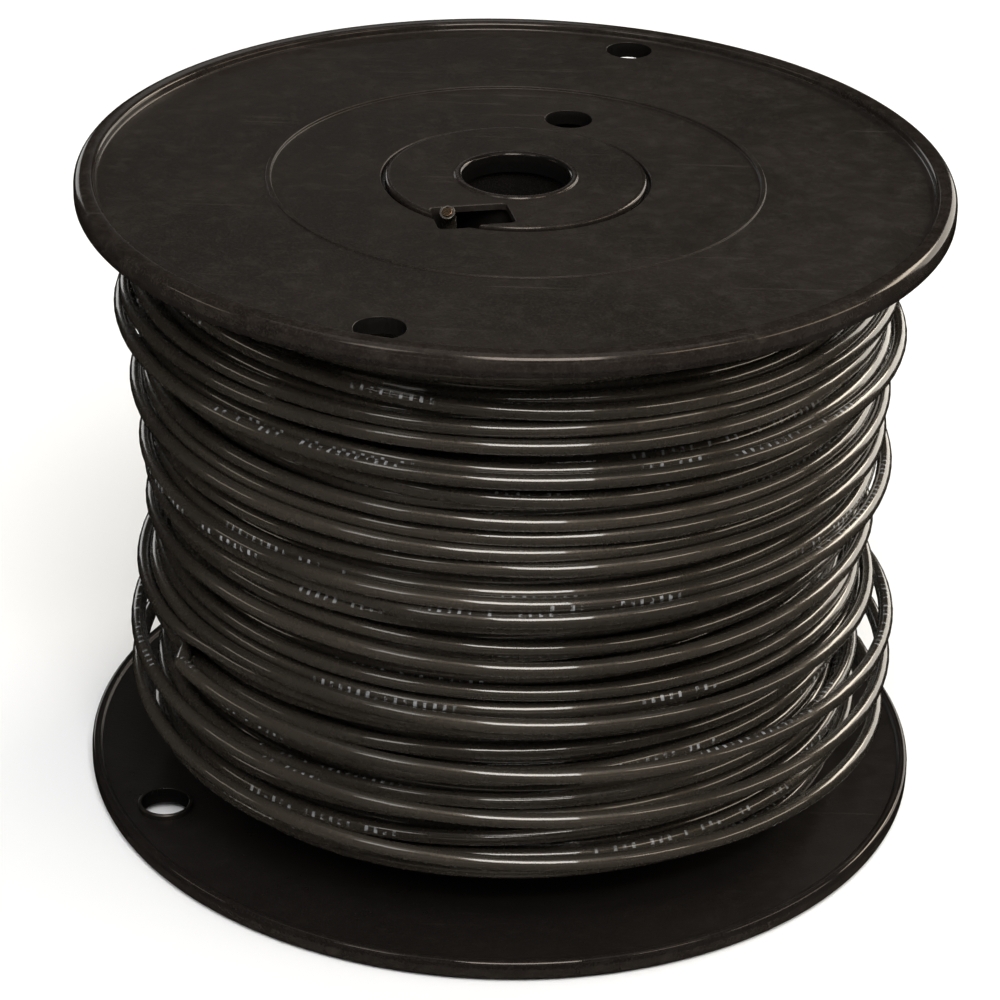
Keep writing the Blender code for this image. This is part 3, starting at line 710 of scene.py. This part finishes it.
class Winder:
    """Lays a wire turn after turn on a drum, each turn resting on what lies under it.

    rest_r holds, for each direction and height, how far out the middle of a new turn would lie there.
    """

    def __init__(self, seed):
        self.random = np.random.default_rng(seed)
        self.rest_r = np.full((SAMPLES, len(HEIGHTS)), FIRST_R)
        self.start = round(PORT_DEG % 360 / 360 * SAMPLES)
        self.targets, self.raw_z, self.z, self.raw_r, self.r = [], [], [], [], []
        self.height, self.direction, self.speed, self.wander = PORT_Z / MM, 1.0, 1.0, 0.0
        self.shape = np.interp(HEIGHTS, SHAPE_Z, SHAPE_R) - BARREL_R / MM
        self.excess = np.zeros(len(HEIGHTS))

    def rest(self, index, z):
        place = (z - HEIGHTS[0]) / CELL
        cell = np.clip(place.astype(int), 0, len(HEIGHTS) - 2)
        share = place - cell
        return self.rest_r[index, cell] * (1 - share) + self.rest_r[index, cell + 1] * share

    def directions(self, first, last):
        return (self.start + np.arange(first, last)) % SAMPLES

    def next_target(self):
        """Height that the traverse asks for: to and fro, calm inside and loose in the outer layers."""
        radius = self.r[-1] if self.r else FIRST_R
        loose = CALM + (1 - CALM) * min(1.0, max(0.0, (radius - LOOSE_FROM_R) / LOOSE_OVER))
        low, high = (np.interp(radius, LIMIT_R, limit) for limit in (LIMIT_LOW, LIMIT_HIGH))
        self.speed += -SPEED_PULL * (self.speed - 1.0) + SPEED_KICK * loose * self.random.standard_normal()
        self.wander += -WANDER_PULL * self.wander + WANDER_KICK * loose * self.random.standard_normal()
        high_here = np.interp(self.height, HEIGHTS, self.excess)
        pitch = PITCH * min(PITCH_RANGE[1], max(PITCH_RANGE[0], 1 + LEVELLING * high_here))
        self.height += self.direction * pitch * max(SLOWEST, self.speed) / SAMPLES
        if self.height > high:
            self.height, self.direction = high, -1.0
        if self.height < low:
            self.height, self.direction = low, 1.0
        return min(high + OVERSHOOT, max(low - OVERSHOOT, self.height + self.wander))

    def compare(self):
        """How much higher each place of the surface is than the final shape, grown so far, asks for."""
        thickness = self.rest_r.mean(0) - FIRST_R
        used = (HEIGHTS > 14) & (HEIGHTS < 113)
        grown = np.mean(thickness[used]) / np.mean(self.shape[used])
        self.excess = np.convolve(thickness - grown * self.shape, np.full(25, 1 / 25), "same")

    def lay(self, count=24, ahead=12):
        """Lays the next stretch.  It settles into the grooves, and bridges short dips."""
        self.compare()
        settle_z, settle_r = bell(5, 2.4), bell(4, 1.5)
        half_z = len(settle_z) // 2
        done = len(self.r)
        while len(self.targets) < done + count + ahead:
            self.targets.append(self.next_target())
        first = len(self.raw_z)
        wanted = np.array(self.targets[first:])
        index = self.directions(first, len(self.targets))
        z = wanted.copy()
        for _ in range(4):
            slope = (self.rest(index, z + 0.4) - self.rest(index, z - 0.4)) / 0.8
            slipped = z - GROOVE_STEP * np.clip(slope, -1, 1) - wanted
            z = wanted + np.clip(slipped, -GROOVE_REACH, GROOVE_REACH)
        self.raw_z.extend(z)
        self.z.extend(self.smoothed(self.raw_z, len(self.z), done + count + ahead - half_z, settle_z))
        first, last = len(self.raw_r), len(self.z)
        self.raw_r.extend(self.rest(self.directions(first, last), np.array(self.z[first:last])))
        self.r.extend(self.smoothed(self.raw_r, done, done + count, settle_r))
        self.press(done, done + count)

    def guide(self, heights, radii, slack):
        """Lays a stretch at these heights, at least at these radii, and off the surface by the slack."""
        done = len(self.r)
        del self.z[done:], self.raw_z[done:], self.raw_r[done:]
        blend = bell(6, 3.0)
        index = self.directions(done, done + len(heights))
        ease = np.minimum(1.0, np.arange(len(heights)) / 20.0)
        z = heights * ease + (1 - ease) * (self.z[-1] + (heights - heights[0]))
        self.z.extend(z)
        for first in range(0, len(z), 24):
            last = min(first + 24, len(z))
            lookahead = min(last + 8, len(z))
            rest = self.rest(index[first:lookahead], z[first:lookahead]) + slack[first:lookahead]
            rest = np.maximum(rest, radii[first:lookahead])
            values = list(self.r[-8:]) + list(rest)
            smooth = self.smoothed(values, 8, 8 + last - first, blend)
            self.r.extend(np.maximum(smooth, rest[:last - first] - 0.15))
            self.press(done + first, done + last)

    @staticmethod
    def smoothed(values, first, last, weights):
        half = len(weights) // 2
        padded = [values[0]] * max(0, half - first) + values[max(0, first - half):last + half]
        padded += [padded[-1]] * (last - first + 2 * half - len(padded))
        return np.convolve(padded, weights, "valid")

    def press(self, first, last):
        """Raises the table of radii around the stretch just laid."""
        z, r = np.array(self.z[first:last]), np.array(self.r[first:last])
        contact = np.interp(r.mean(), CONTACT_R, CONTACT)
        reach = int(contact / CELL) + 1
        cells = np.round((z - HEIGHTS[0]) / CELL).astype(int)[:, None] + np.arange(-reach, reach + 1)
        inside = (cells >= 0) & (cells < len(HEIGHTS))
        cells = np.clip(cells, 0, len(HEIGHTS) - 1)
        off = HEIGHTS[cells] - z[:, None]
        outer = r[:, None] + np.sqrt(np.maximum(0.0, contact ** 2 - off ** 2))
        outer[(np.abs(off) >= contact) | ~inside] = 0.0
        rows = self.directions(first, last)[:, None]
        self.rest_r[rows, cells] = np.maximum(self.rest_r[rows, cells], outer)

    def length(self):
        """Length laid so far, in metres."""
        return float(np.sum(self.r)) * 2 * math.pi / SAMPLES * MM

    def points(self):
        """The wire's middle line in metres, one row a point."""
        angle = (self.start + np.arange(len(self.r))) * 2 * math.pi / SAMPLES
        r = np.array(self.r) * MM
        return np.stack([r * np.cos(angle), r * np.sin(angle), np.array(self.z[:len(self.r)]) * MM], axis=1)


def arc_lengths(points):
    return np.concatenate([[0.0], np.cumsum(np.linalg.norm(np.diff(points, axis=0), axis=1))])


def wire_mesh(name, points, material, sides, along_start=0.0, seed=0):
    """A closed tube along the points, with its UV map: millimetres along, and turns around.

    The jacket's printed line, at half a turn of the map, wanders slowly around the wire.
    """
    points = np.asarray(points, float)
    count = len(points)
    tangent = np.gradient(points, axis=0)
    tangent /= np.linalg.norm(tangent, axis=1)[:, None]
    outward = points * (1.0, 1.0, 0.0)
    outward /= np.linalg.norm(outward, axis=1)[:, None]
    outward -= tangent * np.sum(outward * tangent, axis=1)[:, None]
    outward /= np.linalg.norm(outward, axis=1)[:, None]
    across = np.cross(tangent, outward)
    angle = 2 * math.pi * np.arange(sides) / sides
    rings = (points[:, None, :] + WIRE_R * (np.cos(angle)[None, :, None] * outward[:, None, :]
                                            + np.sin(angle)[None, :, None] * across[:, None, :]))
    vertices = rings.reshape(-1, 3)
    ring, side = np.meshgrid(np.arange(count - 1), np.arange(sides), indexing="ij")
    after = (side + 1) % sides
    faces = np.stack([ring * sides + side, ring * sides + after,
                      (ring + 1) * sides + after, (ring + 1) * sides + side], axis=-1).reshape(-1, 4)

    mesh = bpy.data.meshes.new(name)
    mesh.vertices.add(len(vertices))
    mesh.vertices.foreach_set("co", vertices.astype(np.float32).ravel())
    caps = [list(range(sides))[::-1], list(range((count - 1) * sides, count * sides))]
    loops = np.concatenate([faces.ravel(), *caps]).astype(np.int32)
    mesh.loops.add(len(loops))
    mesh.loops.foreach_set("vertex_index", loops)
    starts = np.concatenate([np.arange(len(faces)) * 4, [len(faces) * 4, len(faces) * 4 + sides]])
    mesh.polygons.add(len(faces) + 2)
    mesh.polygons.foreach_set("loop_start", starts.astype(np.int32))
    mesh.update(calc_edges=True)

    along = (along_start + arc_lengths(points)) / MM
    random = np.random.default_rng(seed)
    knot_mm = 450.0
    knots = np.arange(0.0, along[-1] - along[0] + 2 * knot_mm, knot_mm)
    drift = np.interp(along - along[0], knots, np.cumsum(random.normal(0.0, 0.35, len(knots))))
    u = np.stack([along[ring], along[ring], along[ring + 1], along[ring + 1]], axis=-1)
    v = np.stack([side, side + 1, side + 1, side], axis=-1) / sides
    shift = np.stack([drift[ring], drift[ring], drift[ring + 1], drift[ring + 1]], axis=-1)
    v = v + shift - np.floor(v[..., :1] + shift[..., :1])
    layer = mesh.uv_layers.new(name="wire")
    uv = np.zeros((len(loops), 2), np.float32)
    uv[:len(faces) * 4, 0], uv[:len(faces) * 4, 1] = u.ravel(), v.ravel()
    uv[len(faces) * 4:] = (-5.0, 0.0)
    layer.data.foreach_set("uv", uv.ravel())
    mesh.validate()
    mesh.shade_smooth()
    mesh.set_sharp_from_angle(angle=math.radians(50))
    return add_object(name, mesh, material)


def finish_hole_deg():
    """Angle of the lower flange's tie-off hole that the wire's finish end goes through."""
    return LOWER_TURN_DEG - HOLE_LINE_DEG + 180.0


def last_turns():
    """Heights and radii of the open turns around the winding, in mm, and the direction they end at."""
    bend_deg = math.degrees(FINISH_BEND_R / TIE_HOLE_AT_R)
    end_deg = finish_hole_deg() - bend_deg
    share = np.arange(round(LAST_TURNS * SAMPLES)) / round(LAST_TURNS * SAMPLES)
    closing = np.maximum(0.0, 1 - (1 - share) / 0.04)
    radii = LAST_R + LAST_SHIFT * np.cos(np.radians(end_deg - 360.0 * LAST_TURNS * (1 - share)))
    radii += (TIE_HOLE_AT_R / MM - radii) * closing ** 2
    return LAST_TOP + (LAST_BOTTOM - LAST_TOP) * share, radii, end_deg


def finish_end(end_deg, z):
    """Points of the bend into the tie-off hole, and of the short straight end in it."""
    hole_deg = finish_hole_deg()
    points = []
    for step in range(1, 13):
        angle = math.pi / 24 * step
        points.append(polar(TIE_HOLE_AT_R, end_deg + (hole_deg - end_deg) * math.sin(angle),
                            z - FINISH_BEND_R * (1 - math.cos(angle))))
    straight = np.linspace(z - FINISH_BEND_R, FINISH_END_Z, 4)[1:]
    return points + [polar(TIE_HOLE_AT_R, hole_deg, height) for height in straight]


def approach(winder, length, end_deg):
    """Heights and slack of the loose stretch from where the winding has got to, to the last turns."""
    goal = round((end_deg - 360.0 * LAST_TURNS) % 360 / 360 * SAMPLES)
    count = round(length / (2 * math.pi * winder.r[-1] * MM) * SAMPLES)
    here = (winder.start + len(winder.r)) % SAMPLES
    count += (goal - here - count + SAMPLES // 2) % SAMPLES - SAMPLES // 2
    drifts = np.zeros((count + 40, 3))
    state = np.zeros(3)
    for k in range(len(drifts)):
        state = state * DRIFT_KEEP + winder.random.standard_normal(3) * DRIFT_KICK
        drifts[k] = state
    speed, wander, slack = (np.convolve(drift, bell(20, 7.0), "valid") for drift in drifts.T)
    travelled = np.cumsum(np.maximum(0.25, 1 + speed))
    share = travelled / travelled[-1]
    ends = np.minimum(1.0, 24 * share * (1 - share))
    first = winder.z[len(winder.r) - 1]
    heights = first + (LAST_TOP - first) * share + wander * ends
    slack = SLACK_SCALE * np.maximum(0.0, slack - SLACK_FROM) * ends
    return np.minimum(heights, LIMIT_HIGH[-1] + 1.5), slack


def build_winding(material):
    winder = Winder(seed=SEED)
    heights, radii, end_deg = last_turns()
    last_length = LAST_R * MM * 2 * math.pi * LAST_TURNS
    while True:
        winder.lay()
        left = WIRE_LENGTH - last_length - winder.length()
        away = abs(winder.z[len(winder.r) - 1] - LAST_TOP)
        if left < max(1.0, away / PITCH) * 2 * math.pi * winder.r[-1] * MM:
            break
    steady, slack = approach(winder, left, end_deg)
    winder.guide(steady, np.zeros(len(steady)), slack)
    body = len(winder.r)
    winder.guide(heights, radii, np.zeros(len(heights)))
    laid = winder.points()
    end = finish_end(end_deg, laid[-1][2])
    path = np.concatenate([laid, np.array(end)])
    lengths = arc_lengths(path)
    cuts = [0] + [int(np.searchsorted(lengths, x)) for x in CORD_ENDS] + [body, len(path) - 1]
    for k, (name, step, sides) in enumerate(CORDS):
        index = list(range(cuts[k], cuts[k + 1], step)) + [cuts[k + 1]]
        stretch = path[index]
        piece = wire_mesh(name, stretch, material, sides, lengths[cuts[k]], seed=k)
        nodes = {0: ["wire_winding"], len(CORDS) - 1: ["wire_last_turns"]}.get(k, [])
        hand_in(piece, "wire_jacket", *nodes)
    return path[-1]


# ---------------------------------------------------------------- the wire's two ends

def smooth_curve(points, spacing):
    """Points of a Catmull-Rom curve through the given points, about one spacing apart."""
    padded = [points[0] * 2 - points[1]] + points + [points[-1] * 2 - points[-2]]
    result = []
    for a, b, c, d in zip(padded, padded[1:], padded[2:], padded[3:]):
        steps = max(1, round((c - b).length / spacing))
        for step in range(steps):
            t = step / steps
            result.append(0.5 * (2 * b + (c - a) * t + (2 * a - 5 * b + 4 * c - d) * t ** 2
                                 + (3 * b - a - 3 * c + d) * t ** 3))
    result.append(points[-1])
    return result


def start_route():
    """From the port in the barrel's wall, up inside the barrel, and out of the slot's left end."""
    route = ((-17.8, -17.8, 103.9), (-15.6, -16.0, 104.3), (-13.4, -14.9, 107.0),
             (-12.2, -14.8, 112.0), (-12.0, -15.4, 118.0), (-12.1, -16.5, 122.6),
             (-12.4, -18.6, 125.4))
    return smooth_curve([Vector(point) * MM for point in route], 0.6 * MM)


def cut_conductor(name, end, direction, material):
    """The solid conductor: a rod that stands just proud of the jacket, with a sheared, pinched end."""
    proud, depth, sides = 0.35 * MM, 5.0 * MM, 28
    outline = rounded([(CONDUCTOR_R, -depth, 0.0), (CONDUCTOR_R, proud, 0.15 * MM),
                       (0.3 * CONDUCTOR_R, proud, 0.0)])
    rings = []
    for p in outline[:-1] + [Vector((CONDUCTOR_R * share, proud)) for share in (0.75, 0.5, 0.25)]:
        ring = []
        for k in range(sides):
            point = polar(p.x, 360.0 * k / sides, p.y)
            if p.y > 0:
                point.z += 0.22 * MM * (point.x / CONDUCTOR_R) - 0.10 * MM * abs(point.y / CONDUCTOR_R)
            ring.append(point)
        rings.append(ring)
    rod = prism(name, rings)
    rod.data.materials.append(material)
    rod.data.transform(Matrix.Translation(end) @ direction.to_track_quat("Z", "Y").to_matrix().to_4x4())
    finish_shading(rod, 50.0)
    return rod


def insulation_ring(name, end, direction, material):
    """The cut face of the jacket, around the conductor."""
    frame_turn = direction.to_track_quat("Z", "Y").to_matrix()
    outline = rounded([(WIRE_R, -1.0 * MM, 0.0), (WIRE_R, 0.12 * MM, 0.12 * MM),
                       (CONDUCTOR_R + 0.04 * MM, 0.12 * MM, 0.08 * MM),
                       (CONDUCTOR_R + 0.04 * MM, -1.0 * MM, 0.0)])
    ring = turned(name, [(p.x, p.y) for p in outline], material, 40)
    ring.data.transform(Matrix.Translation(end) @ frame_turn.to_4x4())
    ring.data.shade_smooth()
    return ring


def build_start(jacket, copper):
    route = start_route()
    path = np.array(route)
    direction = (route[-1] - route[-2]).normalized()
    piece = wire_mesh("wire_start", path, jacket, 20, seed=21)
    hand_in(piece, "wire_jacket", "wire_start_end")
    ring = insulation_ring("wire_start_cut", route[-1], direction, jacket)
    hand_in(ring, "wire_jacket")
    core = cut_conductor("copper_start", route[-1], direction, copper)
    hand_in(core, "copper", "wire_start_conductor")


def build_finish(end, jacket, copper):
    end, direction = Vector(end), Vector((0.0, 0.0, -1.0))
    ring = insulation_ring("wire_finish_cut", end, direction, jacket)
    hand_in(ring, "wire_jacket")
    core = cut_conductor("copper_finish", end, direction, copper)
    hand_in(core, "copper", "wire_finish_conductor")


def build():
    build_camera()
    build_studio()
    plastic, jacket, copper = plastic_material(), jacket_material(), copper_material()
    finish = build_winding(jacket)
    build_start(jacket, copper)
    build_finish(finish, jacket, copper)
    hand_in(build_flange("flange_upper", plastic), "reel_plastic", "upper_flange")
    hand_in(build_plug("hub_plug_upper", plastic), "reel_plastic", "upper_hub_plug")
    hand_in(build_barrel(plastic), "reel_plastic", "barrel")
    for builder, name, cad_name in ((build_flange, "flange_lower", "lower_flange"),
                                    (build_plug, "hub_plug_lower", "lower_hub_plug")):
        piece = builder(name, plastic)
        turn_over(piece)
        hand_in(piece, "reel_plastic", cad_name)


build()
